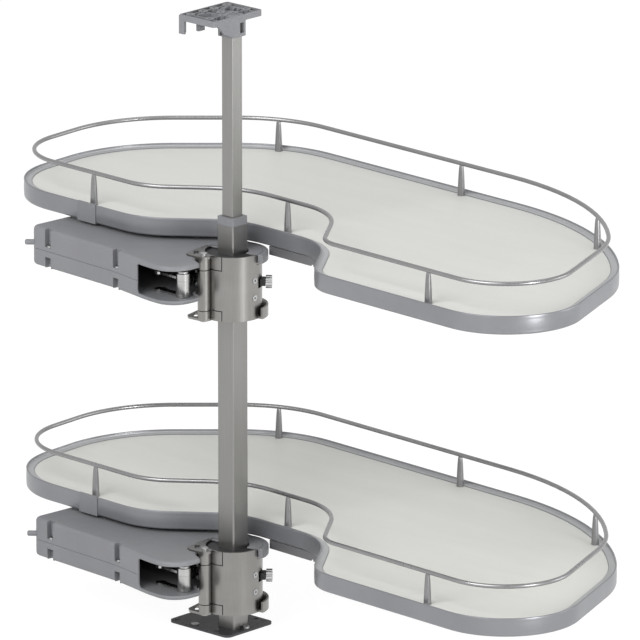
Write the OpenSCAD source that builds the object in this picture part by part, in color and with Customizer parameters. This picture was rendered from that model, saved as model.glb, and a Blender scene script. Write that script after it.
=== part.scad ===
// Corner carousel fitting: two kidney trays on swing-out arms round a
// telescopic square post. Origin on the post's axis at the underside of the
// floor plate, X along the trays, Y to the back, Z up. Sizes in millimetres.

/* [Post] */
// Height from the floor to the top of the bracket
total_h = 730; // [680:5:750]
// Width of the square outer post
post_w = 25; // [22:0.5:27]
// Wall of the outer post
post_wall = 2; // [1.5:0.25:2.5]
// Height of the top of the outer post
post_top = 483; // [474:1:540]
// Width of the square inner post
inner_w = 17; // [14:0.5:18]
// Wall of the inner post
inner_wall = 1.5; // [1:0.25:2.5]
// Length of inner post held inside the outer post
overlap_l = 120; // [90:5:160]

/* [Floor plate] */
// Length of the plate along X
plate_l = 94; // [90:1:110]
// Width of the plate along Y
plate_w = 78; // [74:1:90]
// Thickness of the plate
plate_t = 3; // [2.5:0.5:5]
// Spacing of the screw holes along X
plate_pitch_x = 65; // [56:1:70]
// Spacing of the screw holes along Y
plate_pitch_y = 64; // [56:1:66]
// Diameter of the screw holes
plate_hole_d = 5.5; // [4.5:0.5:6.5]
// Length of the locating peg below the plate
peg_l = 9; // [6:1:12]

/* [Top bracket] */
// Length of the bracket along X
cap_l = 55; // [52:1:62]
// Width of the bracket along Y
cap_w = 80; // [76:1:90]
// Depth of the ribbed plate
cap_t = 7; // [6:0.5:9]
// Length of the corner legs, from the top
leg_l = 22.5; // [18:0.5:26]
// Diameter of the screw holes
cap_hole_d = 4; // [3.5:0.5:4.5]

/* [Levels] */
// Height of the upper level above the lower one
level_gap = 351; // [330:1:365]
// Height of the underside of a bearing sleeve
sleeve_z = 25; // [18:1:30]
// Height of a bearing sleeve
sleeve_h = 76; // [74:1:80]
// Outer radius of the bearing sleeve
sleeve_r = 34; // [33:0.5:36]
// Wall of the bearing sleeve
sleeve_t = 2.5; // [2:0.25:3]
// Radial running gap between the bearing hub and its sleeve
run_gap = 0.06; // [0.03:0.01:0.09]

/* [Arm] */
// Turn of the arm at rest about the post
arm_yaw = -4.5; // [-6:0.5:-3]
// Length of the arm housing beyond the sweep of the tray's crank
arm_tail = 28; // [20:1:34]
// Height of the arm housing
arm_h = 46.5; // [46:0.5:50]
// Wall of the arm housing
arm_wall = 2.5; // [2:0.25:3]
// Distance of the tray pivot from the post, along the arm
pivot_x = 178; // [172:1:180]
// Radius of the tray spindle
spindle_r = 9; // [8:0.5:10]
// Length of the crank under the tray pivot
crank_r = 36; // [32:1:37]

/* [Tray] */
// Turn of the tray at rest about the post
tray_yaw = -2.7; // [-4:0.1:-2]
// Reach of the guard rail to the left of the post
lobe_left = 363; // [350:1:380]
// Front right corner of the guard rail's line, before rounding, from the post
lobe_right = 527; // [505:1:540]
// Reach of the guard rail behind the post
tray_back = 303; // [295:1:320]
// Thickness of the tray board
board_t = 16; // [15:0.5:18]
// Height of the rim
rim_h = 22; // [21:0.5:25]
// Wall of the rim
rim_wall = 2; // [1.5:0.25:2.5]
// Diameter of the guard rail wire
rail_d = 5; // [4:0.5:6]
// Height of the rail's axis above the board
rail_rise = 38; // [30:1:45]

/* [Hidden] */
$fn = 64;

seat = 0.1;        // gap of a seated, unmoving piece
gap = 0.4;         // gap between pieces that move past each other
pass = 1;          // how far a cut runs past a face

// Sleeve and hub
sleeve_top = sleeve_z + sleeve_h;
bore_r = sleeve_r - sleeve_t;
core_r = bore_r - run_gap;
strap_h = 11.5;                    // height of the hinge straps
top_strap_h = strap_h + 4;         // the upper strap is deeper
hinge_r = sleeve_r + 6.2;          // distance of the hinge pin from the axis
hinge_a = 263.7;                   // place of the hinge pin round the post
hinge_at = hinge_r * [cos(hinge_a), sin(hinge_a)];
knuckle_r = 7.2;
pin_r = 3;
strap_end = 296;                   // where the straps end, round the post
door_start = 262;
door_end = 414;                    // door edge below the ring
door_cut = 372.5;                  // door edge at the ring and the lobe
half_start = door_cut - 359;       // where the half sleeve starts
ring_start = door_cut - 358;
strap_gap = 1;                     // open line between the door and its straps
cover_t = 2;                       // cover of the hub beside the post
lobe_r = sleeve_r + 7;             // ring and lobe round the sleeve

// Control crank, fixed to the hub
knob_z = sleeve_z + 39.5;
crank_z = sleeve_z + 38;
crank_h = 12;
barrel_at = [-18, -63];
barrel_r = 8;
barrel_pin_r = 4;
elbow_a = 210;
elbow_at = (sleeve_r + 6) * [cos(elbow_a), sin(elbow_a)];
neck_w = 8;
rod_t = 4.2;
rod_z = crank_z - gap - rod_t;
fork_at = barrel_at + [-38, 2];

// Arm housing
arm_reach = pivot_x + crank_r + arm_tail;
swing = 75;                        // travel of the arm
arm_z1 = sleeve_top - 1.5;
arm_z0 = arm_z1 - arm_h;
seam_z = arm_z1 - 0.56 * arm_h;
front_y = -94.5;
back_y = 46;
frame_t = 3;
frame_z = arm_z1 - arm_wall - 0.4 - frame_t;
pivot_at = [-pivot_x, 0];
bush_r = spindle_r + 5;
flange_r = 34;                     // flange under the tray
arm_crank_z = rod_z + rod_t + gap;
crank_t = 5;
crank_a = 134.5;                   // crank direction at rest, in the arm
eye_r = 7;                         // the rod's eye leaves its pin some play
pocket_x = [-arm_reach + arm_tail + 2, -94];
pocket_z = seam_z + 4.5;

// Tray
rim_z0 = sleeve_top + 2.4;
rim_z1 = rim_z0 + rim_h;
board_z0 = rim_z0 + 1.6;
board_z1 = board_z0 + board_t;
rim_out = 12.4;                    // rim face outside the rail's line
flange_in = 8;                     // inner edge of the lip over the board
flange_t = 1.6;
rail_z = board_z1 + rail_rise;
carrier_z1 = board_z0;
carrier_z0 = sleeve_top + gap;     // underside over the arm
beam_z0 = sleeve_top - 8;          // underside beyond the arm
post_foot_r = 4.5;
post_tip_r = 2.2;
front_left = -28;
front_right = -46;
recess_y = 48;
recess_left = -29;
recess_right = 120;
// Guard rail line: x, y and corner radius, clockwise from the front left
rail_line = [
    [-lobe_left + 20, front_left - 1, 83],
    [-lobe_left, tray_back - 145, 147],
    [-lobe_left + 141, tray_back, 142],
    [lobe_right - 233, tray_back, 368],
    [lobe_right - 102, tray_back - 124, 162],
    [lobe_right, front_right, 77],
    [recess_right + 75, front_right, 40],
    [recess_right, recess_y, 100],
    [recess_left, recess_y, 109],
    [recess_left - 87, front_left + 1, 74]];
// Arm housing line, clockwise from the front left
arm_line = [
    [-arm_reach, front_y, 9],
    [-arm_reach, back_y, 16],
    [-10, back_y, 4],
    [-10, -50, 3],
    [10.5, -58, 7],
    [10.5, -102, 28],
    [-36, -102, 60],
    [-96, front_y, 80]];

// Rounded outlines ----------------------------------------------------------

// Corner i of line p, counted round
function at(p, i) = let (k = (i + len(p)) % len(p)) [p[k].x, p[k].y];
// Unit vector from a to b
function way(a, b) = (b - a) / norm(b - a);
// Turn at corner i in degrees, to the left positive
function turn(p, i) = let (a = way(at(p, i - 1), at(p, i)), b = way(at(p, i), at(p, i + 1)))
    atan2(a.x * b.y - a.y * b.x, a * b);
// Centre of the arc at corner i
function centre(p, i) = let (t = turn(p, i), r = p[i][2], a = way(at(p, i - 1), at(p, i)))
    at(p, i) - a * r * tan(abs(t) / 2) + sign(t) * r * [-a.y, a.x];
// Point at share f of the arc at corner i, moved outwards by d
function arc_at(p, i, f, d) =
    let (t = turn(p, i), s = sign(t), a = way(at(p, i - 1), at(p, i)),
        g = atan2(-s * a.x, s * a.y) + t * f)
    centre(p, i) + (p[i][2] - s * d) * [cos(g), sin(g)];
// Point at share f of the straight run after corner i, moved outwards by d
function run_at(p, i, f, d) =
    let (j = (i + 1) % len(p), a = arc_at(p, i, 1, d), b = arc_at(p, j, 0, d)) a + (b - a) * f;
// Whole outline moved outwards by d, in steps of about step degrees
function outline(p, d, step = 7) = [for (i = [0:len(p) - 1])
    let (n = ceil(abs(turn(p, i)) / step)) for (k = [0:n]) arc_at(p, i, k / n, d)];

// Shared shapes -------------------------------------------------------------

// Plate with an outline moved outwards by d, between heights z0 and z1
module plate(p, d, z0, z1, step = 7) {
    translate([0, 0, z0]) linear_extrude(z1 - z0) polygon(outline(p, d, step));
}

// Rounded rectangle from its low corner
module round_rect(l, w, r) {
    translate([r, 0]) square([l - 2 * r, w]);
    translate([0, r]) square([l, w - 2 * r]);
    for (x = [r, l - r], y = [r, w - r]) translate([x, y]) circle(r);
}

// Rounded square round the post's axis
module round_square(w, r) translate([-w / 2, -w / 2]) round_rect(w, w, r);

// Curved wall round the axis: radii r0 to r1, heights z0 to z1, angles a0 to a1
module band(r0, r1, z0, z1, a0, a1) {
    rotate([0, 0, a0]) rotate_extrude(angle = a1 - a0, $fn = 96)
        translate([r0, z0]) square([r1 - r0, z1 - z0]);
}

// Upright round piece at a point in the plan
module post(p, r, z0, z1) translate([p.x, p.y, z0]) cylinder(r = r, h = z1 - z0);

// Straight bar between two points in the plan
module bar(a, b, w, z0, z1) {
    d = b - a;
    translate([a.x, a.y, z0]) rotate([0, 0, atan2(d.y, d.x)])
        translate([0, -w / 2, 0]) cube([norm(d), w, z1 - z0]);
}

module level(i) translate([0, 0, i * level_gap]) children();
module in_arm(i) level(i) rotate([0, 0, arm_yaw]) children();
module in_tray(i) level(i) rotate([0, 0, tray_yaw]) children();

// Tray pivot seen in the tray's own frame
tray_pivot = let (a = arm_yaw - tray_yaw)
    [pivot_at.x * cos(a) - pivot_at.y * sin(a), pivot_at.x * sin(a) + pivot_at.y * cos(a)];

// Post and its ends ---------------------------------------------------------

plate_x0 = -71;
plate_y0 = -34;
hole_x0 = plate_x0 + 7;
hole_y0 = plate_y0 + 7;
peg_at = [-36, -26];
foot_screw_at = [17.6, 3];
peg_r = 3;
foot_shank_r = 2;

module base_plate() color("dimgray") difference() {
    translate([plate_x0, plate_y0, 0]) linear_extrude(plate_t) round_rect(plate_l, plate_w, 7);
    for (x = [0, plate_pitch_x], y = [0, plate_pitch_y])
        post([hole_x0 + x, hole_y0 + y], plate_hole_d / 2, -pass, plate_t + pass);
    post(peg_at, peg_r + seat, -pass, plate_t + pass);
    post(foot_screw_at, foot_shank_r + seat, -pass, plate_t + pass);
}

module foot_fasteners() color("silver") {
    // locating peg with a flat collar on the plate
    post(peg_at, peg_r, -peg_l + 1, plate_t + 1);
    translate([peg_at.x, peg_at.y, -peg_l]) cylinder(r1 = peg_r - 1, r2 = peg_r, h = 1);
    post(peg_at, peg_r + 1.8, plate_t, plate_t + 1);
    // screw that holds the foot of the post
    post(foot_screw_at, foot_shank_r, 0.4, plate_t + 1);
    difference() {
        post(foot_screw_at, 3.8, plate_t, plate_t + 2.4);
        for (a = [20, 110]) translate([foot_screw_at.x, foot_screw_at.y, plate_t + 1.6])
            rotate([0, 0, a]) translate([-2.2, -0.5, 0]) cube([4.4, 1, 2]);
    }
}

module outer_post() color("silver") translate([0, 0, plate_t]) linear_extrude(post_top - plate_t)
    difference() {
        round_square(post_w, 2);
        round_square(post_w - 2 * post_wall, 0.8);
    }

// Guide collar that closes the outer post round the inner one
cap_h = 10;
guide_l = 26;
module post_cap() color("darkgray") difference() {
    union() {
        translate([0, 0, post_top]) linear_extrude(cap_h) round_square(post_w, 2);
        translate([0, 0, post_top - guide_l]) linear_extrude(guide_l + 1)
            round_square(post_w - 2 * post_wall - 2 * seat, 0.8);
    }
    translate([0, 0, post_top - guide_l - pass]) linear_extrude(guide_l + cap_h + 2 * pass)
        round_square(inner_w + 2 * run_gap, 1.5);
}

module inner_post() color("silver")
    translate([0, 0, post_top - overlap_l]) linear_extrude(total_h - cap_t - post_top + overlap_l)
        difference() {
            round_square(inner_w, 1.5);
            round_square(inner_w - 2 * inner_wall, 0.5);
        }

// Ribbed plastic bracket with corner legs and a collar round the inner post
collar_w = inner_w + 7;
collar_h = 25;
cap_x1 = collar_w / 2;
cap_x0 = cap_x1 - cap_l;
cap_y0 = -cap_w / 2 - 2;
boss_x = [cap_x0 + 9, cap_x1 - 16];
boss_y = [cap_y0 + 10, cap_y0 + 31, cap_y0 + cap_w - 31, cap_y0 + cap_w - 10];
boss_r = 5.2;
rib_t = 1.8;

module top_bracket() color("gray") difference() {
    union() {
        translate([cap_x0, cap_y0, total_h - cap_t]) linear_extrude(cap_t) difference() {
            round_rect(cap_l, cap_w, 3);
            translate([rib_t, rib_t]) square([cap_l - 2 * rib_t, cap_w - 2 * rib_t]);
        }
        translate([cap_x0 + 1, cap_y0 + 1, total_h - cap_t]) cube([cap_l - 2, cap_w - 2, rib_t]);
        for (x = boss_x) {
            translate([x - rib_t / 2, cap_y0 + 1, total_h - cap_t]) cube([rib_t, cap_w - 2, cap_t - 0.6]);
            for (y = boss_y) post([x, y], boss_r, total_h - cap_t, total_h);
        }
        for (y = boss_y)
            translate([cap_x0 + 1, y - rib_t / 2, total_h - cap_t]) cube([cap_l - 2, rib_t, cap_t - 0.6]);
        // two ribs across the middle bay, on the slant
        for (s = [-1, 1]) translate([cap_x0 + cap_l / 2, cap_y0 + cap_w / 2, total_h - cap_t])
            rotate([0, 0, 58 * s]) translate([-cap_w / 2 + 14, -rib_t / 2, 0])
                cube([cap_w - 28, rib_t, cap_t - 1.3]);
        post([cap_x0 + cap_l / 2, cap_y0 + cap_w / 2], boss_r, total_h - cap_t, total_h);
        // angle legs at the two left corners and slim legs beside them
        for (m = [0, 1]) translate([0, cap_y0 + cap_w / 2, 0]) mirror([0, m, 0]) {
            translate([cap_x0, -cap_w / 2, total_h - leg_l]) {
                cube([8, 3, leg_l - 1]);
                cube([3, 9, leg_l - 1]);
            }
            translate([cap_x0 + 12, -cap_w / 2 + 16, total_h - leg_l + 2]) cube([4, 10, leg_l - 3]);
        }
        for (x = [cap_x0 + 22, cap_x0 + 29])
            translate([x, cap_y0 + cap_w - 16, total_h - leg_l + 5]) cube([3, 9, leg_l - 6]);
        // collar
        translate([0, 0, total_h - collar_h]) linear_extrude(collar_h - 1) round_square(collar_w, 3);
        // gusset from the near edge down to the collar
        translate([cap_x1, cap_y0 + 6, total_h - cap_t]) rotate([0, -90, 0])
            linear_extrude(3.4) polygon([[1, 0], [-11, 12], [-17, 26], [1, 26]]);
    }
    translate([0, 0, total_h - collar_h - pass]) linear_extrude(collar_h - cap_t + pass)
        round_square(inner_w + 2 * seat, 1.5);
    for (x = boss_x, y = boss_y) post([x, y], cap_hole_d / 2, total_h - cap_t - pass, total_h + pass);
    post([cap_x0 + cap_l / 2, cap_y0 + cap_w / 2], cap_hole_d / 2, total_h - cap_t - pass, total_h + pass);
    // window and slots in the collar
    translate([0, 1, total_h - cap_t - 14]) cube([collar_w, 6, 12]);
    translate([collar_w / 2 - 6, -collar_w, total_h - cap_t - 16]) cube([2.6, collar_w, 9]);
    translate([-collar_w / 2 + 5, -collar_w, total_h - cap_t - 17]) cube([2.6, collar_w, 11]);
}

// Hub and control crank, fixed to the post ----------------------------------

module post_core(i) color([0.2, 0.2, 0.21]) level(i) difference() {
    union() {
        post([0, 0], core_r, sleeve_z + 1, sleeve_top - cover_t - gap - 1);
        post([0, 0], core_r - 2, sleeve_z - 1, sleeve_top - cover_t - gap);
    }
    translate([0, 0, sleeve_z - 1 - pass]) linear_extrude(sleeve_h + 4) round_square(post_w + 2 * seat, 2);
    // grease grooves
    for (z = [sleeve_z + 14, sleeve_top - 18]) difference() {
        post([0, 0], core_r + pass, z, z + 3);
        post([0, 0], core_r - 1.2, z - pass, z + 3 + pass);
    }
    bar([0, 0], elbow_at, neck_w + 2 * seat, crank_z - seat, crank_z + crank_h + seat);
}

// Steel crank that stands out of the hub: rod pivot at its elbow, barrel at its end
module control_crank(i) color("silver") level(i) difference() {
    union() {
        bar(elbow_at * 0.45, elbow_at, neck_w, crank_z + 0.5, crank_z + crank_h);
        bar(elbow_at, barrel_at, 4, crank_z + 1, crank_z + crank_h - 0.5);
        post(elbow_at, 5.4, crank_z, crank_z + crank_h + 0.6);
        post(barrel_at, barrel_r, crank_z - 4, crank_z + crank_h);
        // pivot of the control rod with its retaining head
        post(elbow_at, pin_r, rod_z - gap - 1, crank_z + 1);
        post(elbow_at, 4.8, rod_z - gap - 1.1, rod_z - gap);
    }
    post(barrel_at, barrel_pin_r + seat / 2, crank_z - 4 - pass, crank_z + crank_h + pass);
}

// Fork clamped to the barrel: two rings and two tongues beside the rod's path
fork_z0 = arm_z0 + arm_wall + gap;
fork_z1 = crank_z + crank_h + 8.5;
module stop_fork(i) color("gainsboro") level(i) difference() {
    union() {
        post(barrel_at, barrel_r, fork_z0, crank_z - 4 - seat);
        post(barrel_at, barrel_r, crank_z + crank_h + seat, fork_z1);
        for (z = [[fork_z0, rod_z - 0.6], [crank_z + crank_h + 1, crank_z + crank_h + 4]]) {
            bar(barrel_at, fork_at, 9, z[0], z[1]);
            post(fork_at, 6.5, z[0], z[1]);
        }
    }
    post(barrel_at, barrel_pin_r + seat / 2, fork_z0 - pass, fork_z1 + pass);
}

// Pin through the barrel, with a hexagon socket in its head
module stop_pin(i) color("gainsboro") level(i) difference() {
    union() {
        post(barrel_at, barrel_pin_r, fork_z0, fork_z1 + 1);
        post(barrel_at, 6.4, fork_z1 + seat, fork_z1 + 2.6);
    }
    translate([barrel_at.x, barrel_at.y, fork_z1 + 1]) cylinder(r = 2.3, h = 3, $fn = 6);
}

// Point of the arm's plan in the row's plan
function arm_point(p) = [p.x * cos(arm_yaw) - p.y * sin(arm_yaw), p.x * sin(arm_yaw) + p.y * cos(arm_yaw)];
crank_end = pivot_at + crank_r * [cos(crank_a), sin(crank_a)];
eye_at = arm_point(crank_end);

// Rod from the crank's elbow to the eye under the tray's crank
module control_rod(i) color("darkgray") level(i) difference() {
    union() {
        bar(elbow_at, eye_at, 9, rod_z + 0.4, rod_z + rod_t - 0.4);
        post(elbow_at, 5.4, rod_z, rod_z + rod_t);
        post(eye_at, eye_r + 2.7, rod_z, rod_z + rod_t);
    }
    post(elbow_at, pin_r + run_gap, rod_z - pass, rod_z + rod_t + pass);
    post(eye_at, eye_r, rod_z - pass, rod_z + rod_t + pass);
    // long lightening slot
    bar(elbow_at + way(elbow_at, eye_at) * 16, eye_at - way(elbow_at, eye_at) * 18, 4,
        rod_z - pass, rod_z + rod_t + pass);
}

// Bearing of the arm --------------------------------------------------------

module knuckle(z0, z1) {
    post(hinge_at, knuckle_r, z0, z1);
    rotate([0, 0, hinge_a]) translate([sleeve_r - 1, -3, z0]) cube([hinge_r - sleeve_r, 6, z1 - z0]);
}

module arm_bearing(i) color("silver") in_arm(i) difference() {
    union() {
        band(bore_r, sleeve_r, sleeve_z, sleeve_top, half_start, strap_end);
        knuckle(sleeve_top - top_strap_h, sleeve_top);
        knuckle(sleeve_z, sleeve_z + strap_h);
        // lobe that stiffens the lower edge at the back
        rotate([0, 0, ring_start]) rotate_extrude(angle = 110 - ring_start, $fn = 96) polygon([
            [sleeve_r - 1, sleeve_z + 0.4], [lobe_r, sleeve_z + 0.4], [lobe_r, sleeve_z + 13],
            [lobe_r - 2.5, sleeve_z + 13], [lobe_r - 2.5, sleeve_z + 3], [sleeve_r - 1, sleeve_z + 3]]);
        // ears above and below
        for (z = [sleeve_z, sleeve_top - 2.5]) translate([0, 0, z]) linear_extrude(2.5) polygon(ear_plan);
    }
    post(hinge_at, pin_r + run_gap, sleeve_z - pass, sleeve_top + pass);
    // slot in the ears
    bar([-24, -34], [-15.5, -41.5], 5.5, sleeve_z - pass, sleeve_top + pass);
    post([-24, -34], 2.9, sleeve_z - pass, sleeve_top + pass);
    // space for the door at both ends of the half sleeve
    band(bore_r - 4, lobe_r + 2, sleeve_z + 13.5, sleeve_top - 12, half_start - 3.5, door_end - 358);
    band(bore_r - 4, sleeve_r + 1, sleeve_z + strap_h, sleeve_top - top_strap_h,
        door_start - 4, strap_end + 4);
    // window that the control crank sweeps
    band(bore_r - 4, sleeve_r + 4, crank_z - 2, crank_z + crank_h + 2,
        elbow_a - arm_yaw - swing - 10, elbow_a - arm_yaw + 10.5);
    // step under the cover of the hub
    band(bore_r - 4, sleeve_r + 1, sleeve_top - cover_t - seat, sleeve_top + pass, half_start - 3, 190);
}

ear_plan = concat([[-34, -22], [-27, -45], [-21, -49], [-8, -47.2], [2, -43.6], [3.4, -38]],
    [for (a = [272:-8:192]) (sleeve_r - 1) * [cos(a), sin(a)]]);
module hinge_pin(i) color("gainsboro") in_arm(i) {
    post(hinge_at, pin_r, sleeve_z - 1.2, sleeve_top + 3.2);
    post(hinge_at, pin_r + 1.2, sleeve_top + 2.5, sleeve_top + 3.6);
    post(hinge_at, pin_r + 1.2, sleeve_z - 1.6, sleeve_z);
}

// Pressed plate under the top shell that carries the tray pivot
frame_line = [
    [-arm_reach + 9, front_y + 9, 8],
    [-arm_reach + 9, back_y - 6, 10],
    [-13.5, back_y - 6, 4],
    [-13.5, -36, 4],
    [-26, -62, 8],
    [-70, front_y + 12, 30],
    [-130, front_y + 9, 30]];
module arm_frame(i) color("silver") in_arm(i) difference() {
    union() {
        plate(frame_line, 0, frame_z, frame_z + frame_t);
        translate([-arm_reach + 32, front_y + 9, frame_z - 14]) cube([96, 2.5, 16]);
        translate([-arm_reach + 20, back_y - 8.5, frame_z - 14]) cube([150, 2.5, 16]);
    }
    post([0, 0], sleeve_r + 0.02, frame_z - pass, frame_z + frame_t + pass);
    post(pivot_at, bush_r + seat / 2, frame_z - 20, frame_z + frame_t + pass);
    post(hinge_at, knuckle_r + 1, frame_z - 20, frame_z + frame_t + pass);
    columns(frame_z - 20, frame_z + frame_t + pass, 0.4);
    band(0, lobe_r + 0.3, frame_z - pass, frame_z + frame_t + pass, 10, 206);
}

module spindle_bush(i) color([0.15, 0.15, 0.16]) in_arm(i) difference() {
    union() {
        post(pivot_at, bush_r, arm_crank_z + crank_t + gap, sleeve_top - 1);
        post(pivot_at, bush_r + 4, frame_z - 3.2, frame_z - seat);
    }
    post(pivot_at, spindle_r + run_gap, arm_crank_z, sleeve_top + pass);
}

// Arm housing ---------------------------------------------------------------

sill_z = arm_z0 + 5.6;             // lower edge of the open front
lintel_z = arm_z1 - 6;             // its upper edge
roof_z = arm_z1 - arm_wall;
floor_z = arm_z0 + arm_wall;
// Space for the sleeve, the hinge and the open front round the linkage
module housing_cuts() {
    post([0, 0], sleeve_r + 0.3, arm_z0 - pass, sleeve_top + pass);
    post(hinge_at, knuckle_r + 2.3, arm_z0 - pass, sleeve_top + pass);
    translate([-52, -25, sill_z]) rotate([90, 0, 0]) linear_extrude(90)
        round_rect(100, lintel_z - sill_z, 4.5);
}

// Shell of the housing between two heights, hollow from h0 to h1
module shell(z0, z1, h0, h1) difference() {
    plate(arm_line, 0, z0, z1, 15);
    plate(arm_line, -arm_wall, h0, h1, 15);
}

// Columns for the screws behind the front and back faces, and their grooves
module columns(z0, z1, g = 0) for (x = pocket_x) {
    translate([x - 7 - g, front_y + 1, z0]) cube([14 + 2 * g, 12 + g, z1 - z0]);
    translate([x - 7 - g, back_y - 9 - g, z0]) cube([14 + 2 * g, 8 + g, z1 - z0]);
}
module grooves(z0, z1) for (x = pocket_x, y = [front_y - pass, back_y - 7])
    translate([x - 5, y, z0]) cube([10, 8, z1 - z0]);
screw_y = [front_y + 3.6, back_y - 3.6];
module screw_bores(r, z0, z1) for (x = pocket_x, y = screw_y) post([x, y], r, z0, z1);

module housing_top(i) color([0.56, 0.56, 0.58]) in_arm(i) {
    housing_shell();
    // cover of the hub, from the ring to the post
    band(post_w / sqrt(2) + 1, sleeve_r + 2, sleeve_top - cover_t, sleeve_top - 0.2, ring_start + 0.6, 188);
}
module housing_shell() difference() {
    union() {
        shell(seam_z, arm_z1, seam_z - pass, roof_z);
        columns(seam_z, roof_z + 1);
        // ring round the sleeve
        band(sleeve_r - 1, lobe_r, sleeve_top - 10, sleeve_top, ring_start, 205);
    }
    housing_cuts();
    grooves(pocket_z, arm_z1 + pass);
    // recess in the roof for the bearing's upper ear
    translate([0, 0, sleeve_top - 2.8]) linear_extrude(4)
        polygon([[-10, -20], [-30, -4], [-36, -5], [-35.2, -22], [-27.8, -46], [-21.2, -50.2], [-8, -48.4],
            [4, -44], [6, -30]]);
    screw_bores(1.8, seam_z - pass, pocket_z + pass);
    post(pivot_at, bush_r + seat, roof_z - pass, arm_z1 + pass);
    end_pin_shape(seat);
}

module housing_bottom(i) color([0.54, 0.54, 0.56]) in_arm(i) difference() {
    union() {
        shell(arm_z0, seam_z - 0.2, floor_z, seam_z + pass);
        columns(floor_z - 1, seam_z - 0.2);
    }
    housing_cuts();
    grooves(arm_z0 - pass, arm_z0 + 13);
    screw_bores(1.4, arm_z0 + 12, seam_z + pass);
}

module housing_screws(i) color("gainsboro") in_arm(i) for (x = pocket_x, y = screw_y) {
    post([x, y], 1.4 - seat / 2, seam_z - 7, pocket_z + 0.5);
    difference() {
        post([x, y], 3.2, pocket_z, pocket_z + 2.2);
        for (a = [0, 90]) translate([x, y, pocket_z + 1.2]) rotate([0, 0, a])
            translate([-1.9, -0.4, 0]) cube([3.8, 0.8, 2]);
    }
}

end_pin_r = 3.2;
end_pin_z = seam_z + 5.6;
module end_pin_shape(g) translate([-arm_reach + 12, front_y + 12, end_pin_z]) rotate([0, 0, 225])
    rotate([0, 90, 0]) translate([0, 0, 7]) cylinder(r = end_pin_r + g, h = 15.5);
module end_pin(i) color([0.62, 0.62, 0.64]) in_arm(i) {
    end_pin_shape(0);
    translate([-arm_reach + 12, front_y + 12, end_pin_z]) rotate([0, 0, 225]) rotate([0, 90, 0])
        translate([0, 0, 22]) cylinder(r1 = end_pin_r - 0.1, r2 = end_pin_r - 1, h = 1.5);
}

// Clamp door and its lock ---------------------------------------------------

door_screw_a = 6.5;
door_screw_z = [sleeve_z + 25.5, sleeve_z + 46];
lock_a = 44.5;
module clamp_door(i) color("lightgray") in_arm(i) difference() {
    union() {
        band(bore_r, sleeve_r, sleeve_z, sleeve_top, door_start, door_end);
        knuckle(sleeve_z + strap_h + strap_gap, sleeve_top - top_strap_h - strap_gap);
    }
    post(hinge_at, pin_r + run_gap, sleeve_z, sleeve_top);
    // steps round the straps and under the ring
    band(bore_r - 2, sleeve_r + 2, sleeve_z - pass, sleeve_z + strap_h + strap_gap + 0.02,
        door_start - 4, strap_end + 1.7);
    band(bore_r - 2, sleeve_r + 2, sleeve_top - top_strap_h - strap_gap - 0.02, sleeve_top + pass,
        door_start - 4, strap_end + 1.7);
    band(bore_r - 2, sleeve_r + 2, sleeve_top - 12 - gap, sleeve_top + pass, door_cut, door_end + 4);
    band(bore_r - 2, sleeve_r + 2, sleeve_z - pass, sleeve_z + 13.5 + gap, door_cut, door_end + 4);
    // notches at the free edge
    band(bore_r - 2, sleeve_r + 2, crank_z - 2.5, crank_z + 10.5, 17.5, 60);
    for (z = door_screw_z) translate([0, 0, z]) rotate([0, 0, door_screw_a]) rotate([0, 90, 0])
        cylinder(r = 3.5 + seat / 2, h = sleeve_r + 5);
}

module door_screws(i) color("silver") in_arm(i) for (z = door_screw_z)
    translate([0, 0, z]) rotate([0, 0, door_screw_a]) rotate([0, 90, 0]) difference() {
        translate([0, 0, bore_r + 0.3]) cylinder(r = 3.5, h = sleeve_t + 0.3);
        translate([0, 0, sleeve_r - 0.7]) cylinder(r = 1.5, h = 3, $fn = 6);
    }

module on_lock(i) in_arm(i) translate([0, 0, knob_z]) rotate([0, 0, lock_a]) rotate([0, 90, 0]) children();

module lock_block(i) color([0.12, 0.12, 0.13]) on_lock(i) difference() {
    translate([-4.6, -8.4, bore_r + 0.4]) cube([7.8, 13.4, 6]);
    translate([0, 0, bore_r - 1]) cylinder(r = pin_r + run_gap, h = 14);
}

module lock_knob(i) color("gainsboro") on_lock(i) {
    translate([0, 0, bore_r + 0.6]) cylinder(r = pin_r, h = 6.5);
    difference() {
        translate([0, 0, bore_r + 6.7]) cylinder(r = 7.6, h = 7);
        for (a = [0:30:330]) rotate([0, 0, a]) translate([8.6, 0, bore_r + 6]) cylinder(r = 1.6, h = 9);
        translate([-4, -0.6, bore_r + 12.7]) cube([8, 1.2, 2]);
    }
    translate([0, 0, bore_r + 6.5]) cylinder(r = 5, h = 0.6);
}

// Tray ----------------------------------------------------------------------

module at_pivot(i) in_tray(i) translate([tray_pivot.x, tray_pivot.y, 0]) children();

module tray_spindle(i) color("silver") at_pivot(i) {
    cylinder_from(spindle_r, arm_crank_z - 0.2, carrier_z0 + 1);
    cylinder_from(flange_r, carrier_z0, carrier_z1 - seat);
}
module cylinder_from(r, z0, z1) translate([0, 0, z0]) cylinder(r = r, h = z1 - z0);

// Crank under the pivot, over the eye of the control rod
crank_turn = crank_a + arm_yaw - tray_yaw;
module tray_crank(i) color("gainsboro") at_pivot(i) difference() {
    union() {
        cylinder_from(spindle_r + 5, arm_crank_z, arm_crank_z + crank_t);
        rotate([0, 0, crank_turn]) translate([0, -6, arm_crank_z]) cube([crank_r, 12, crank_t]);
        rotate([0, 0, crank_turn]) translate([crank_r, 0, 0]) {
            cylinder_from(7.5, arm_crank_z, arm_crank_z + crank_t);
            // pin through the rod's eye, with a washer under the rod
            cylinder_from(pin_r, rod_z - 1.7, arm_crank_z + crank_t + 1.5);
            cylinder_from(eye_r + 1.6, rod_z - 1.8, rod_z - 0.6);
        }
    }
    cylinder_from(spindle_r + seat / 4, arm_crank_z - pass, arm_crank_z + crank_t + pass);
}

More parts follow.
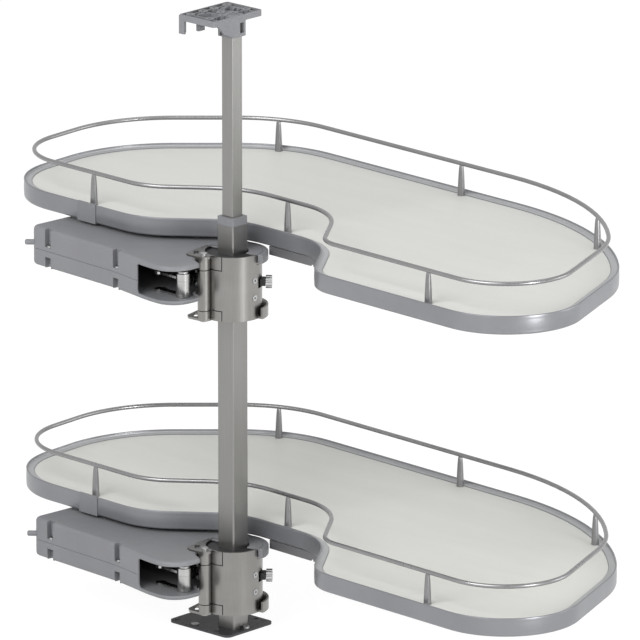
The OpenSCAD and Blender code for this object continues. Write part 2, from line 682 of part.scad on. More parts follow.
// Formed beam under the board: flat over the arm, deep to the right of it
beam_y0 = recess_y - rim_out + 1.4;
beam_w = 30;
beam_x0 = 22;
beam_x1 = 250;
module tray_carrier(i) color("gray") in_tray(i) difference() {
    union() {
        // strap from the spindle's flange to the beam
        difference() {
            bar([tray_pivot.x, beam_y0 + 6], [beam_x0 + 38, beam_y0 + 18], 36,
                carrier_z0, carrier_z1 - 0.3);
            translate([-lobe_left, -rail_rise, carrier_z0 - pass])
                cube([lobe_left + lobe_right, rail_rise + beam_y0 + 8, 20]);
        }
        bar(tray_pivot, [tray_pivot.x, beam_y0 + 20], 52, carrier_z0, carrier_z1 - 0.15);
        // channel section of the beam
        translate([beam_x0, 0, 0]) rotate([90, 0, 90]) linear_extrude(beam_x1 - beam_x0) polygon([
            [beam_y0, beam_z0], [beam_y0 + 2, beam_z0], [beam_y0 + 2, rim_z0 - 2.2],
            [beam_y0 + 12, rim_z0 - 2.2], [beam_y0 + 12, carrier_z1 - 2],
            [beam_y0 + beam_w - 2, carrier_z1 - 2],
            [beam_y0 + beam_w - 2, beam_z0], [beam_y0 + beam_w, beam_z0],
            [beam_y0 + beam_w, carrier_z1], [beam_y0 + 10, carrier_z1],
            [beam_y0 + 10, rim_z0 - 0.2], [beam_y0, rim_z0 - 0.2]]);
    }
    post(tray_pivot, flange_r + seat, carrier_z0 - pass, carrier_z1 + pass);
    // notch in the lower edge of the beam
    translate([90, beam_y0 - pass, beam_z0 - pass]) cube([4, 4, 3]);
}

module tray_board(i) color([0.86, 0.86, 0.83]) in_tray(i)
    plate(rail_line, rim_out - rim_wall - seat, board_z0, board_z1);

module tray_rim(i) color([0.6, 0.6, 0.62]) in_tray(i) difference() {
    plate(rail_line, rim_out, rim_z0, rim_z1);
    plate(rail_line, rim_out - rim_wall, board_z0, board_z1);
    plate(rail_line, rim_out - rim_wall + 0.5, board_z1 + flange_t, rim_z1 + pass);
    plate(rail_line, flange_in, board_z1 - pass, board_z1 + flange_t + pass);
    plate(rail_line, 4, rim_z0 - pass, board_z0 + pass);
}

clip_x0 = -215;
clip_w = 30;
module rim_clip(i) color([0.58, 0.58, 0.6]) in_tray(i) intersection() {
    difference() {
        plate(rail_line, rim_out + 1, rim_z0 - 0.6, rim_z1 + 0.5);
        plate(rail_line, rim_out + seat / 2, rim_z0, rim_z1);
        plate(rail_line, rim_out - rim_wall, rim_z0 - 1.5, rim_z1 + 1.5);
    }
    translate([clip_x0, front_left - 40, rim_z0 - 2]) cube([clip_w, 60, rim_h + 4]);
}

// Wire rail: a round section carried along the rounded line
rail_sides = 8;
module guard_rail(i) color("silver") in_tray(i) {
    p = outline(rail_line, 0, 8);
    n = len(p);
    // direction across the wire at point k, half way between its two runs
    across = [for (k = [0:n - 1]) let (a = way(p[(k + n - 1) % n], p[k]), b = way(p[k], p[(k + 1) % n]),
        t = way([0, 0], a + b)) [-t.y, t.x]];
    r = rail_d / 2;
    ring = [for (k = [0:n - 1], j = [0:rail_sides - 1]) let (g = (j + 0.5) * 360 / rail_sides)
        concat(p[k] + across[k] * r * cos(g), [rail_z + r * sin(g)])];
    polyhedron(ring, [for (k = [0:n - 1], j = [0:rail_sides - 1])
        let (a = k * rail_sides, b = ((k + 1) % n) * rail_sides, m = (j + 1) % rail_sides)
        [a + j, a + m, b + m, b + j]]);
}

// Places of the rail posts, under the wire: on an arc or a straight run of the line
rail_spot = [
    run_at(rail_line, 9, 0.463, 0), arc_at(rail_line, 2, 0.448, 0), run_at(rail_line, 2, 0.738, 0),
    arc_at(rail_line, 3, 0.71, 0), run_at(rail_line, 5, 0.233, 0), run_at(rail_line, 7, 0.505, 0)];
module rail_posts(i) color([0.6, 0.6, 0.6]) in_tray(i) for (p = rail_spot) {
    post(p, post_foot_r, board_z1, board_z1 + 1.5);
    translate([p.x, p.y, board_z1 + 1])
        cylinder(r1 = post_foot_r - 0.3, r2 = post_tip_r, h = rail_rise - 1 - rail_d / 2 - seat);
}

base_plate();
foot_fasteners();
outer_post();
post_cap();
inner_post();
top_bracket();
post_core(0);  // lower_post_core
control_crank(0);  // lower_control_crank
stop_pin(0);  // lower_stop_pin
stop_fork(0);  // lower_stop_fork
control_rod(0);  // lower_control_rod
arm_bearing(0);  // lower_arm_bearing
arm_frame(0);  // lower_arm_frame
housing_top(0);  // lower_housing_top
housing_bottom(0);  // lower_housing_bottom
housing_screws(0);  // lower_housing_screws
end_pin(0);  // lower_end_pin
hinge_pin(0);  // lower_hinge_pin
spindle_bush(0);  // lower_spindle_bush
clamp_door(0);  // lower_clamp_door
door_screws(0);  // lower_door_screws
lock_block(0);  // lower_lock_block
lock_knob(0);  // lower_lock_knob
tray_spindle(0);  // lower_tray_spindle
tray_crank(0);  // lower_tray_crank
tray_carrier(0);  // lower_tray_carrier
tray_board(0);  // lower_tray_board
tray_rim(0);  // lower_tray_rim
rim_clip(0);  // lower_rim_clip
guard_rail(0);  // lower_guard_rail
rail_posts(0);  // lower_rail_posts
post_core(1);  // upper_post_core
control_crank(1);  // upper_control_crank
stop_pin(1);  // upper_stop_pin
stop_fork(1);  // upper_stop_fork
control_rod(1);  // upper_control_rod
arm_bearing(1);  // upper_arm_bearing
arm_frame(1);  // upper_arm_frame
housing_top(1);  // upper_housing_top
housing_bottom(1);  // upper_housing_bottom
housing_screws(1);  // upper_housing_screws
end_pin(1);  // upper_end_pin
hinge_pin(1);  // upper_hinge_pin
spindle_bush(1);  // upper_spindle_bush
clamp_door(1);  // upper_clamp_door
door_screws(1);  // upper_door_screws
lock_block(1);  // upper_lock_block
lock_knob(1);  // upper_lock_knob
tray_spindle(1);  // upper_tray_spindle
tray_crank(1);  // upper_tray_crank
tray_carrier(1);  // upper_tray_carrier
tray_board(1);  // upper_tray_board
tray_rim(1);  // upper_tray_rim
rim_clip(1);  // upper_rim_clip
guard_rail(1);  // upper_guard_rail
rail_posts(1);  // upper_rail_posts
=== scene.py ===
import math
import bmesh
import bpy
import numpy as np
from mathutils import Matrix, Vector


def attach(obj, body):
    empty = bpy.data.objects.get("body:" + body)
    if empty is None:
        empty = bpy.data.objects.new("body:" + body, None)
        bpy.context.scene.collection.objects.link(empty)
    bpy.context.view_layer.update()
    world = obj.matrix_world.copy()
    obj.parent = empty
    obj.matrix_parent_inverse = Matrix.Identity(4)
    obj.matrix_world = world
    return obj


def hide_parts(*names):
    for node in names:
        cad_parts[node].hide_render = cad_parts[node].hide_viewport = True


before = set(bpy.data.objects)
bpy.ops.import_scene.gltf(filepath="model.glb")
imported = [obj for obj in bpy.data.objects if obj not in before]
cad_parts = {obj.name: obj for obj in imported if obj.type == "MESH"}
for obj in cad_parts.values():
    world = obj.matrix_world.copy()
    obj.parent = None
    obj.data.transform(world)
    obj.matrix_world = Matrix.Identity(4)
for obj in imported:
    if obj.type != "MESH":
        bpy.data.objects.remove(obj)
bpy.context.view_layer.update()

# Studio ----------------------------------------------------------------------
# A white room with a large lamp in front, a tall one low on the right, a weak
# one behind that and another overhead. The camera stands far off with a long
# lens, 43 degrees to the right of the trays' front, looking down 16 degrees.
scene = bpy.context.scene
scene.view_settings.view_transform = "Standard"
azimuth = math.radians(42.96)
pitch = math.radians(15.98)
camera_distance = 12.008
lens_mm, sensor_mm = 586.2, 36
far_clip = 100
aim_right = 0.0999
aim_up = 0.3549

camera_back = Vector((math.sin(azimuth) * math.cos(pitch),
                      -math.cos(azimuth) * math.cos(pitch), math.sin(pitch)))
camera_right = Vector((math.cos(azimuth), math.sin(azimuth), 0))
camera_up = camera_back.cross(camera_right)
aim = camera_right * aim_right + camera_up * aim_up
camera = bpy.data.objects.new("camera", bpy.data.cameras.new("camera"))
camera.data.sensor_width = sensor_mm
camera.data.lens = lens_mm
camera.data.clip_end = far_clip
camera.matrix_world = Matrix((camera_right, camera_up, camera_back)).transposed().to_4x4()
camera.matrix_world.translation = aim + camera_back * camera_distance
scene.collection.objects.link(camera)
scene.camera = camera
lamps_face = Vector((0.08, 0.05, 0.35))


def softbox(name, turn, height, away, width, tall, power):
    """Lamp at an azimuth and elevation about the object's middle, facing it."""
    data = bpy.data.lights.new(name, "AREA")
    data.shape = "RECTANGLE"
    data.size = width
    data.size_y = tall
    data.energy = power
    lamp = bpy.data.objects.new(name, data)
    turn, height = math.radians(turn), math.radians(height)
    towards = Vector((math.sin(turn) * math.cos(height),
                      -math.cos(turn) * math.cos(height), math.sin(height)))
    lamp.location = lamps_face + towards * away
    lamp.rotation_euler = towards.to_track_quat("Z", "Y").to_euler()
    scene.collection.objects.link(lamp)


softbox("front", 5, 38, 3.4, 2.4, 2.4, 76)
softbox("right", 84, 5, 3.0, 0.5, 1.2, 34)
softbox("right_rear", 136, 8, 3.2, 1.3, 1.3, 16)
softbox("overhead", 150, 74, 3.0, 1.6, 1.6, 7)


class Value:
    """A shader value. Sums and products of values add the Math nodes for them."""

    def __init__(self, nodes, socket):
        self.nodes = nodes
        self.socket = socket

    def maths(self, operation, *terms):
        return self.nodes.node("ShaderNodeMath", {"operation": operation}, dict(enumerate(terms)))

    def __add__(self, other):
        return self.maths("ADD", self, other)

    def __sub__(self, other):
        return self.maths("SUBTRACT", self, other)

    def __rsub__(self, other):
        return self.maths("SUBTRACT", other, self)

    def __mul__(self, other):
        return self.maths("MULTIPLY", self, other)

    __radd__ = __add__
    __rmul__ = __mul__


class Nodes:
    """The nodes of a material or of the world: node() adds one, and given() fills in
    one that is there from the start. Inputs are numbers, colours or values."""

    def __init__(self, owner):
        owner.use_nodes = True
        self.tree = owner.node_tree

    def filled(self, node, inputs, output):
        for name, value in (inputs or {}).items():
            if isinstance(value, Value):
                self.tree.links.new(value.socket, node.inputs[name])
            else:
                node.inputs[name].default_value = value
        return Value(self, node.outputs[output]) if node.outputs else None

    def node(self, kind, settings=None, inputs=None, output=0):
        node = self.tree.nodes.new(kind)
        for name, value in (settings or {}).items():
            setattr(node, name, value)
        return self.filled(node, inputs, output)

    def given(self, name, inputs):
        return self.filled(self.tree.nodes[name], inputs, 0)


def seen_rays(nodes):
    """1 for rays from the camera, a glossy or a clear surface, and 0 for soft light."""
    total = nodes.node("ShaderNodeLightPath", output="Is Camera Ray")
    for ray in ("Is Glossy Ray", "Is Transmission Ray"):
        total = total.maths("MAXIMUM", total, nodes.node("ShaderNodeLightPath", output=ray))
    return total


world = bpy.data.worlds.new("studio")
scene.world = world
room = Nodes(world)
soft_light = room.given("Background", {"Color": (1, 1, 1, 1), "Strength": 0.47})
seen_room = room.node("ShaderNodeBackground", inputs={"Color": (0.8, 0.8, 0.8, 1), "Strength": 1.0})
room.given("World Output", {"Surface": room.node(
    "ShaderNodeMixShader", inputs={"Fac": seen_rays(room), 1: soft_light, 2: seen_room})})

floor_half = 9.0
floor_height = -0.0006
floor_glow = 1.1
glow_share = 0.86
floor_mesh = bpy.data.meshes.new("floor")
floor_mesh.from_pydata([(x * floor_half, y * floor_half, floor_height)
                        for x, y in ((-1, -1), (1, -1), (1, 1), (-1, 1))], [], [(0, 1, 2, 3)])
floor = bpy.data.objects.new("floor", floor_mesh)
scene.collection.objects.link(floor)
pale = bpy.data.materials.new("pale_floor")
ground = Nodes(pale)
matt = ground.given("Principled BSDF", {"Base Color": (0.88, 0.88, 0.88, 1), "Roughness": 0.9})
glow = ground.node("ShaderNodeEmission", inputs={"Strength": floor_glow})
ground.given("Material Output", {"Surface": ground.node(
    "ShaderNodeMixShader", inputs={"Fac": glow_share * seen_rays(ground), 1: matt, 2: glow})})
floor_mesh.materials.append(pale)

# Floor plate -----------------------------------------------------------------
# A 3 mm steel plate with rounded corners and four screw holes, laser cut and
# coated satin dark grey. Screws hold it down; a peg below it finds its place.
plate_edge = 0.0005
sharp_angle = math.radians(32)
flat_angle = math.radians(0.6)
same_point = 2e-6


class Finish(Nodes):
    """A material for one finish. Its methods draw a grain and feed it to the shader."""

    def __init__(self, name, **constants):
        self.material = bpy.data.materials.new(name)
        super().__init__(self.material)
        self.given("Principled BSDF", {words.replace("_", " ").title().replace("Ior", "IOR"): value
                                       for words, value in constants.items()})

    def feed(self, socket, value):
        self.given("Principled BSDF", {socket: value})

    def grain(self, scale, stretch=(1, 1, 1), detail=3.0):
        """Noise in the object's own metres, drawn out where stretch is small."""
        place = self.node("ShaderNodeTexCoord", output="Object")
        drawn = self.node("ShaderNodeMapping", {"vector_type": "POINT"},
                          {"Vector": place, "Scale": stretch})
        return self.node("ShaderNodeTexNoise", {},
                         {"Vector": drawn, "Scale": scale, "Detail": detail})

    def shade(self, mask, low, high):
        """Colour between low and high by a mask, through the Mix node's colour sockets."""
        factor, first, second, mixed = 0, 6, 7, 2
        colours = {factor: mask, first: (*low, 1), second: (*high, 1)}
        self.feed("Base Color", self.node("ShaderNodeMix", {"data_type": "RGBA"}, colours, mixed))

    def gloss(self, mask, roughness, spread):
        """Roughness, half the spread up or down by a mask."""
        self.feed("Roughness", roughness - spread / 2 + spread * mask)

    def relief(self, height, depth, strength=1.0):
        """Bump of a height pattern, depth in metres."""
        self.feed("Normal", self.node("ShaderNodeBump", {}, {
            "Height": height, "Distance": depth, "Strength": strength}))


def coated(name, low, high, roughness, metallic=0.5):
    """Sprayed coat on steel: faint orange peel and a slow change of tone."""
    finish = Finish(name, metallic=metallic)
    finish.shade(finish.grain(18), low, high)
    finish.gloss(finish.grain(60), roughness, 0.1)
    finish.relief(finish.grain(900, detail=1.0), 0.00004)
    return finish.material


def softened(node, body, width, material, outline=None):
    """Copy of a CAD node with its triangles joined up and its edges rounded to width.
    outline, if given, is a wider radius and a test for the edges that have it."""
    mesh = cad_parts[node].data.copy()
    shape = bmesh.new()
    shape.from_mesh(mesh)
    bmesh.ops.remove_doubles(shape, verts=shape.verts, dist=same_point)
    bmesh.ops.dissolve_limit(shape, angle_limit=flat_angle, verts=shape.verts, edges=shape.edges)
    widest = outline[0] if outline else width
    weight = shape.edges.layers.float.new("bevel_weight_edge")
    for edge in shape.edges:
        if len(edge.link_faces) == 2 and edge.calc_face_angle(0) > sharp_angle:
            wide = outline and outline[1](edge)
            edge[weight] = 1.0 if wide or not widest else width / widest
    shape.to_mesh(mesh)
    shape.free()
    mesh.materials.clear()
    mesh.materials.append(material)
    if "custom_normal" in mesh.attributes:
        mesh.attributes.remove(mesh.attributes["custom_normal"])
    mesh.shade_smooth()
    mesh.set_sharp_from_angle(angle=sharp_angle)
    piece = bpy.data.objects.new(node + "_rounded", mesh)
    scene.collection.objects.link(piece)
    if width:
        bevel = piece.modifiers.new("edges", "BEVEL")
        bevel.width = widest
        bevel.segments = 4 if outline else 2
        bevel.limit_method = "WEIGHT"
        bevel.use_clamp_overlap = not outline
        bevel.harden_normals = True
    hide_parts(node)
    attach(piece, body)


dark_coat = coated("dark_metal", (0.045, 0.045, 0.05), (0.075, 0.075, 0.08), 0.42)
softened("base_plate", "root", plate_edge, dark_coat)

# Foot peg and screw ----------------------------------------------------------
# A zinc plated locating peg with a flat collar, and the pan-head screw beside
# the post that holds its foot to the plate.
peg_edge = 0.0002


def plated(name, low, high, roughness, scale=40):
    """Plated steel: cloudy zinc, nickel or chrome with fine scratches in its gloss."""
    finish = Finish(name, metallic=1.0)
    finish.shade(finish.grain(scale), low, high)
    finish.gloss(finish.grain(260, (1, 1, 0.06), detail=4.0), roughness, 0.22)
    finish.relief(finish.grain(1400, (1, 1, 0.2), detail=2.0), 0.00002)
    return finish.material


zinc = plated("zinc_steel", (0.38, 0.385, 0.39), (0.56, 0.56, 0.56), 0.34)
softened("foot_fasteners", "root", peg_edge, zinc)

# Square posts ----------------------------------------------------------------
# Two telescopic steel tubes with small corner radii, nickel plated over a
# brushed face whose lines run up the post. Their cut ends stay sharp.
cut_end = 0


def brushed(name, low, high, roughness):
    """Brushed and plated steel: long fine lines along the tube in tone and gloss."""
    finish = Finish(name, metallic=0.92)
    lines = finish.grain(900, (1, 1, 0.012), detail=5.0)
    cloud = finish.grain(14, (1, 1, 0.5))
    finish.shade(0.55 * lines + 0.45 * cloud, low, high)
    finish.gloss(lines, roughness, 0.16)
    finish.relief(lines, 0.00003, 0.6)
    return finish.material


brushed_tube = brushed("nickel_steel", (0.215, 0.212, 0.204), (0.355, 0.35, 0.342), 0.34)
softened("outer_post", "root", cut_end, brushed_tube)
softened("inner_post", "mast", cut_end, brushed_tube)

# Guide collar ----------------------------------------------------------------
# A collar moulded in grey plastic. It sits on the outer tube's end, closes it
# round the inner tube, and guides that.
collar_edge = 0.0006


def moulded(name, low, high, roughness):
    """Injection moulded plastic: spark-eroded fine grain and faint flow marks."""
    finish = Finish(name, specular_ior_level=0.4)
    finish.shade(finish.grain(22, (1, 1, 0.7)), low, high)
    finish.gloss(finish.grain(90), roughness, 0.12)
    finish.relief(finish.grain(1600, detail=2.0), 0.00003)
    return finish.material


grey_plastic = moulded("grey_plastic", (0.205, 0.208, 0.222), (0.255, 0.258, 0.27), 0.5)
softened("post_cap", "root", collar_edge, grey_plastic)

# Top bracket -----------------------------------------------------------------
# A ribbed plate with screw bosses, moulded in the same grey plastic. Its corner
# legs slip over a rail, and a square socket below it takes the inner post.
thin_ribs = 0
softened("top_bracket", "mast", thin_ribs, grey_plastic)

# Hub and its crank -----------------------------------------------------------
# A black plastic hub fixed to the post in each level. A bright steel crank
# stands out of it, and the barrel at its end carries the stop's fork and pin.
hub_edge, stop_pin_edge = 0.0004, 0.0002
black_plastic = moulded("black_plastic", (0.016, 0.016, 0.017), (0.03, 0.03, 0.031), 0.45)
bright = plated("bright_steel", (0.42, 0.42, 0.415), (0.6, 0.6, 0.59), 0.26, 70)
levels = ("lower", "upper")
for level in levels:
    softened(level + "_post_core", "root", hub_edge, black_plastic)
    softened(level + "_control_crank", "root", hub_edge, bright)
    softened(level + "_stop_fork", "root", hub_edge, bright)
    softened(level + "_stop_pin", "root", stop_pin_edge, zinc)

# Control rod -----------------------------------------------------------------
# A flat pressed-steel link, zinc plated, from the crank's elbow to the eye on
# the tray's crank. It lies in the arm's housing, free to turn at both ends.
rod_edge = 0.0003
for level in levels:
    softened(level + "_control_rod", level + "_rod", rod_edge, zinc)

# Swing bearing ---------------------------------------------------------------
# Half a rolled sleeve with hinge straps above and below, ears and a hinge pin,
# satin nickel plated. A hinged door with two grub screws closes it round the hub.
sleeve_edge, grub_edge = 0.0003, 0.0002


def satin_nickel(name, low, high, roughness):
    """Satin nickel plate on rolled steel: soft cloudy tone and a fine even haze."""
    finish = Finish(name, metallic=0.95)
    cloud = finish.grain(26, (1, 1, 1.6))
    haze = finish.grain(700, (1, 1, 0.05), detail=4.0)
    finish.shade(0.6 * cloud + 0.4 * haze, low, high)
    finish.gloss(haze, roughness, 0.14)
    finish.relief(haze, 0.00002, 0.5)
    return finish.material


nickel = satin_nickel("satin_nickel", (0.22, 0.213, 0.203), (0.35, 0.343, 0.33), 0.32)
for level in levels:
    arm, door = level + "_arm", level + "_door"
    softened(level + "_arm_bearing", arm, sleeve_edge, nickel)
    softened(level + "_hinge_pin", arm, sleeve_edge, zinc)
    softened(level + "_clamp_door", door, sleeve_edge, nickel)
    softened(level + "_door_screws", door, grub_edge, zinc)

# Lock ------------------------------------------------------------------------
# A black plastic block on the door's face, and the zinc plated, turned knob
# that locks the door.
block_edge, knob_edge = 0.0005, 0.0004
for level in levels:
    softened(level + "_lock_block", level + "_door", block_edge, black_plastic)
    softened(level + "_lock_knob", level + "_lock", knob_edge, zinc)

# Arm housing -----------------------------------------------------------------
# Two moulded shells screwed together at a seam, their outer edges well rounded
# and their front open round the linkage. They hold a pressed steel plate and
# the bush of the tray's spindle.
level_height = 0.351
arm_yaw = math.radians(-4.5)
arm_reach = 0.242
arm_front, arm_back = -0.0945, 0.046
arm_low, arm_high = 0.053, 0.0995
shell_edge, shell_round = 0.0005, 0.0045
pressed_edge = 0.0003
flat_screws = 0
arm_corners = np.array([
    (-arm_reach, arm_front, 0.009),
    (-arm_reach, arm_back, 0.016),
    (-0.010, arm_back, 0.004),
    (-0.010, -0.050, 0.003),
    (0.0105, -0.058, 0.007),
    (0.0105, -0.102, 0.028),
    (-0.036, -0.102, 0.060),
    (-0.096, arm_front, 0.080)])


def left_of(direction):
    """Plan direction turned a quarter to the left."""
    return np.stack([-direction[..., 1], direction[..., 0]], -1)


def tangent_arc(corners, k):
    """Arc at corner k of a rounded line: centre, radius, outward direction at its
    start, and turn. Its ends touch both runs, radius times tan(turn / 2) away."""
    here, radius = corners[k, :2], corners[k, 2]
    before = here - corners[k - 1, :2]
    after = corners[(k + 1) % len(corners), :2] - here
    before, after = before / np.linalg.norm(before), after / np.linalg.norm(after)
    turn = math.atan2(before[0] * after[1] - before[1] * after[0], before @ after)
    outward = left_of(before)
    centre = here - before * radius * math.tan(abs(turn) / 2) + np.sign(turn) * radius * outward
    return centre, radius, outward, turn


def arc_points(corners, k, share):
    """Points and outward directions at shares of the arc at corner k: the start
    direction turned by that share of the turn, one radius from the centre."""
    centre, radius, outward, turn = tangent_arc(corners, k)
    angle = np.asarray(share, float) * turn
    normal = np.stack([outward[0] * np.cos(angle) - outward[1] * np.sin(angle),
                       outward[0] * np.sin(angle) + outward[1] * np.cos(angle)], -1)
    return centre - np.sign(turn) * radius * normal, normal


def rounded_line(corners, step):
    """A whole line, clockwise, with each arc in equal steps of about step degrees."""
    turns = [abs(math.degrees(tangent_arc(corners, k)[3])) for k in range(len(corners))]
    arcs = [arc_points(corners, k, np.linspace(0, 1, 1 + math.ceil(turn / step)))
            for k, turn in enumerate(turns)]
    return np.concatenate([a[0] for a in arcs]), np.concatenate([a[1] for a in arcs])


def in_place(points, yaw, level):
    """Points of an arm's or a tray's own plan, turned by its yaw and lifted to its level."""
    turned = np.array(points, float)
    x, y = turned[..., 0].copy(), turned[..., 1].copy()
    turned[..., 0] = math.cos(yaw) * x - math.sin(yaw) * y
    turned[..., 1] = math.sin(yaw) * x + math.cos(yaw) * y
    turned[..., 2] += level * level_height
    return turned


def outline_edges(level, height):
    """Test for a shell's edges: level at that height, with the middle less than a
    chord's sag away from one of the outline's segments."""
    line = rounded_line(arm_corners, 5)[0]
    start = in_place(np.c_[line, np.full(len(line), height)], arm_yaw, level)
    run = np.roll(start, -1, 0) - start
    length_squared = np.maximum((run * run).sum(1), 1e-12)
    chord_sag, level_slack = 0.0012, 0.0001

    def test(edge):
        ends = np.array([v.co for v in edge.verts])
        if np.abs(ends[:, 2] - start[0, 2]).max() > level_slack:
            return False
        middle = ends.mean(0)
        along = np.clip(((middle - start) * run).sum(1) / length_squared, 0, 1)
        return np.linalg.norm(start + run * along[:, None] - middle, axis=1).min() < chord_sag
    return test


for index, level in enumerate(levels):
    arm = level + "_arm"
    for shell, height in (("_housing_top", arm_high), ("_housing_bottom", arm_low)):
        softened(level + shell, arm, shell_edge, grey_plastic,
                 outline=(shell_round, outline_edges(index, height)))
    softened(level + "_housing_screws", arm, flat_screws, zinc)
    softened(level + "_end_pin", arm, pressed_edge, grey_plastic)
    softened(level + "_arm_frame", arm, pressed_edge, zinc)
    softened(level + "_spindle_bush", arm, pressed_edge, black_plastic)

# Tray spindle and carrier ----------------------------------------------------
# A turned spindle with a flange screwed under the tray, the crank on its foot,
# and a formed beam that stiffens the board to the right of the arm.
carrier_edge = 0.0004
grey_coat = coated("grey_metal", (0.17, 0.172, 0.18), (0.24, 0.242, 0.25), 0.4)
for level in levels:
    tray = level + "_tray"
    softened(level + "_tray_spindle", tray, carrier_edge, bright)
    softened(level + "_tray_crank", tray, carrier_edge, zinc)
    softened(level + "_tray_carrier", tray, carrier_edge, grey_coat)

# Tray board ------------------------------------------------------------------
# A 16 mm chipboard cut to the kidney shape, faced with off-white melamine whose
# printed grain runs along the tray. The rim covers its sawn edge.
sawn_edge = 0
board_look = Finish("white_board", specular_ior_level=0.35)
streaks = board_look.grain(34, (0.16, 1, 1), detail=5.0)
fleck = board_look.grain(420, (0.3, 1, 1), detail=2.0)
board_look.shade(0.8 * streaks + 0.2 * fleck, (0.7, 0.705, 0.67), (0.785, 0.79, 0.755))
board_look.gloss(fleck, 0.5, 0.16)
board_look.relief(fleck, 0.00003, 0.5)
for level in levels:
    softened(level + "_tray_board", level + "_tray", sawn_edge, board_look.material)

# Tray rim --------------------------------------------------------------------
# A silver-grey coated channel bent round the board: a crowned outer face, a thin lip
# on the board inside it, and a flange below. The lip's top and the inner wall above it
# are painted paler, a painted reflection of the white board, and the lip's nose keeps
# the darker coat as a painted shade line at the board. A cover strip hides the joint
# at the left front.
tray_yaw = math.radians(-2.7)
lobe_left, lobe_right, tray_back = 0.363, 0.527, 0.303
left_front, right_front, recess_back = -0.029, -0.046, 0.048
tray_corners = np.array([
    (-lobe_left + 0.020, left_front, 0.083),
    (-lobe_left, tray_back - 0.145, 0.147),
    (-lobe_left + 0.141, tray_back, 0.142),
    (lobe_right - 0.233, tray_back, 0.368),
    (lobe_right - 0.102, tray_back - 0.124, 0.162),
    (lobe_right, right_front, 0.077),
    (0.195, right_front, 0.040),
    (0.120, recess_back, 0.100),
    (-0.029, recess_back, 0.109),
    (-0.116, -0.027, 0.074)])
arc_step = 2.5
rim_low, rim_high = 0.1034, 0.1254
board_top = 0.121
rim_face, rim_wall = 0.0124, 0.002
crown, crown_middle, crown_half = 0.0003, 0.0108, 0.0078
foot_round, foot_inset = 0.0026, 0.0002
bead_round, bead_depth = 0.0010, 0.0016
lip_edge, lip, lip_fillet, lip_nose = 0.0025, 0.0009, 0.0006, 0.0004
flange, flange_edge = 0.0016, 0.004
clip_edge = 0.0003


def corner_arc(x, z, radius, start, end, parts=5):
    """Part of a circle in a profile: points from angle start to angle end."""
    angle = np.radians(np.linspace(start, end, parts + 1))
    return np.stack([x + radius * np.cos(angle), z + radius * np.sin(angle)], -1)


def quads(rows, columns, closed):
    """Faces of a grid of points, joined round its columns, and round its rows if closed."""
    i, j = np.arange(rows if closed else rows - 1)[:, None], np.arange(columns)[None, :]
    corner = [((i + a) % rows) * columns + (j + b) % columns
              for a, b in ((0, 0), (0, 1), (1, 1), (1, 0))]
    return np.stack([c.ravel() for c in np.broadcast_arrays(*corner)], -1)


def surface(name, points, faces, material, body, node, smooth_angle=40, second=None):
    """Mesh of points and faces, turned outwards, in place of a CAD node. second, if
    given, is another material and a mark for each face that has it."""
    mesh = bpy.data.meshes.new(name)
    mesh.from_pydata(points.reshape(-1, 3).tolist(), [], faces)
    shape = bmesh.new()
    shape.from_mesh(mesh)
    bmesh.ops.recalc_face_normals(shape, faces=shape.faces)
    shape.to_mesh(mesh)
    shape.free()
    mesh.materials.append(material)
    if second:
        mesh.materials.append(second[0])
        mesh.polygons.foreach_set("material_index", second[1])
    mesh.shade_smooth()
    mesh.set_sharp_from_angle(angle=math.radians(smooth_angle))
    piece = bpy.data.objects.new(name, mesh)
    scene.collection.objects.link(piece)
    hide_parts(node)
    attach(piece, body)


def swept(profile, line):
    """Grid of a profile carried along a line: the profile's first value goes out
    along the line's outward direction, and its second is the height."""
    place, normal = line
    out, up = profile[:, 0], profile[:, 1]
    plan = place[:, None] + normal[:, None] * out[None, :, None]
    height = np.broadcast_to(up[None, :, None], plan.shape[:2] + (1,))
    return np.concatenate([plan, height], -1)


bow = np.linspace(-1, 1, 9)
inner_face = rim_face - rim_wall
outer_profile = np.concatenate([
    [(flange_edge, rim_low + flange), (flange_edge, rim_low)],
    corner_arc(rim_face - foot_round - foot_inset, rim_low + foot_round, foot_round, -90, -8),
    np.stack([rim_face - crown * bow ** 2, rim_low + crown_middle + crown_half * bow], -1),
    corner_arc(rim_face - bead_round, rim_high - bead_round, bead_round, 20, 160, 6)])
lip_profile = np.concatenate([
    [(inner_face, rim_high - bead_depth)],
    corner_arc(inner_face - lip_fillet, board_top + lip + lip_fillet, lip_fillet, 0, -90, 3),
    [(lip_edge + lip, board_top + lip)]])
hidden_profile = [
    (lip_edge, board_top + lip - lip_nose), (lip_edge, board_top),
    (inner_face, board_top), (inner_face, rim_low + flange)]
rim_profile = np.concatenate([outer_profile, lip_profile, hidden_profile])
silver_coat = coated("silver_metal", (0.215, 0.22, 0.235), (0.28, 0.285, 0.3), 0.32)
# Paler copy of the coat for the lip and the inner wall: a painted reflection of the white board.
painted_reflection_lip = coated("painted_reflection_lip", (0.44, 0.445, 0.455), (0.5, 0.505, 0.515), 0.4, metallic=0.35)
# Marks the lip's faces for the painted reflection; the lip's nose, its last face, keeps the darker
# coat as a painted shade line.
painted_reflection_faces = np.zeros(len(rim_profile), np.int32)
painted_reflection_faces[len(outer_profile):len(outer_profile) + len(lip_profile) - 1] = 1
tray_outline = rounded_line(tray_corners, arc_step)
rim_rows = len(tray_outline[0])
rim_faces = quads(rim_rows, len(rim_profile), True).tolist()
for index, level in enumerate(levels):
    rim = in_place(swept(rim_profile, tray_outline), tray_yaw, index)
    surface(level + "_rim", rim, rim_faces, silver_coat, level + "_tray",
            level + "_tray_rim", second=(painted_reflection_lip, np.tile(painted_reflection_faces, rim_rows)))
    softened(level + "_rim_clip", level + "_tray", clip_edge, grey_plastic)

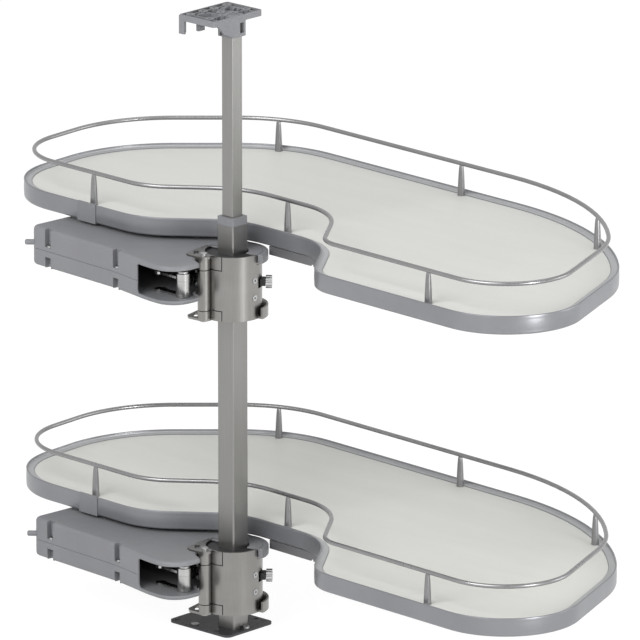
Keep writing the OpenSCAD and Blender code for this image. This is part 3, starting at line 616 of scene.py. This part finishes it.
# Guard rail ------------------------------------------------------------------
# One 5 mm steel wire bent to the tray's line, butt welded and chrome plated. It
# is welded to the tips of the rail posts.
wire_radius = 0.0025
wire_height = 0.159
wire_sides = 20
wire_step = 3.5
chrome = plated("chrome_wire", (0.27, 0.27, 0.275), (0.36, 0.36, 0.365), 0.3, 30)
wire_section = corner_arc(0, wire_height, wire_radius, 0, 360 - 360 / wire_sides, wire_sides - 1)
wire_line = rounded_line(tray_corners, wire_step)
wire_faces = quads(len(wire_line[0]), wire_sides, True).tolist()
for index, level in enumerate(levels):
    wire = in_place(swept(wire_section, wire_line), tray_yaw, index)
    surface(level + "_wire", wire, wire_faces, chrome, level + "_tray",
            level + "_guard_rail", smooth_angle=60)

# Rail posts ------------------------------------------------------------------
# Six slender cones a tray, cast with a round foot and screwed up through the
# board under the wire, which is welded to their tips.
post_places = [("run", 9, 0.463), ("arc", 2, 0.448), ("run", 2, 0.738),
               ("arc", 3, 0.71), ("run", 5, 0.233), ("run", 7, 0.505)]
foot_radius, foot_high, foot_chamfer = 0.0046, 0.0016, 0.0003
stem_radius, stem_start, tip_radius = 0.0044, 0.0022, 0.002
tip_below_wire = 0.6 * wire_radius
stem_rings, post_sides = 14, 24


def rail_place(kind, k, share):
    """Point on the wire's line: on corner k's arc or on the run after it."""
    if kind == "arc":
        return arc_points(tray_corners, k, share)[0]
    start = arc_points(tray_corners, k, 1)[0]
    end = arc_points(tray_corners, (k + 1) % len(tray_corners), 0)[0]
    return start + (end - start) * share


def cone(place):
    """Turned post: level rings whose radius falls from the foot to the tip as the
    square root of a line, so that the sides swell a little."""
    rise = wire_height - tip_below_wire - board_top
    foot = [0, foot_chamfer, foot_high - foot_chamfer, foot_high]
    up = np.concatenate([foot, np.linspace(stem_start, rise, stem_rings)])
    left = np.clip((rise - up) / rise, 0, 1)
    radius = tip_radius + (stem_radius - tip_radius) * left ** 0.5
    radius[:len(foot)] = foot_radius - np.array([foot_chamfer, 0, 0, foot_chamfer])
    angle = np.linspace(0, 2 * np.pi, post_sides, endpoint=False)
    ring = np.stack([np.cos(angle), np.sin(angle)], -1)
    plan = place + radius[:, None, None] * ring[None]
    height = np.broadcast_to((board_top + up)[:, None, None], plan.shape[:2] + (1,))
    return np.concatenate([plan, height], -1)


post_coat = coated("post_metal", (0.2, 0.2, 0.205), (0.3, 0.3, 0.305), 0.33, metallic=0.7)
for index, level in enumerate(levels):
    cones = np.stack([in_place(cone(rail_place(*spot)), tray_yaw, index) for spot in post_places])
    count, rings, sides = cones.shape[:3]
    first = np.arange(count) * rings * sides
    around = np.arange(sides)
    walls = (first[:, None, None] + quads(rings, sides, False)).reshape(-1, 4)
    soles = first[:, None] + around[::-1]
    tips = first[:, None] + (rings - 1) * sides + around
    surface(level + "_posts", cones, walls.tolist() + soles.tolist() + tips.tolist(), post_coat,
            level + "_tray", level + "_rail_posts")
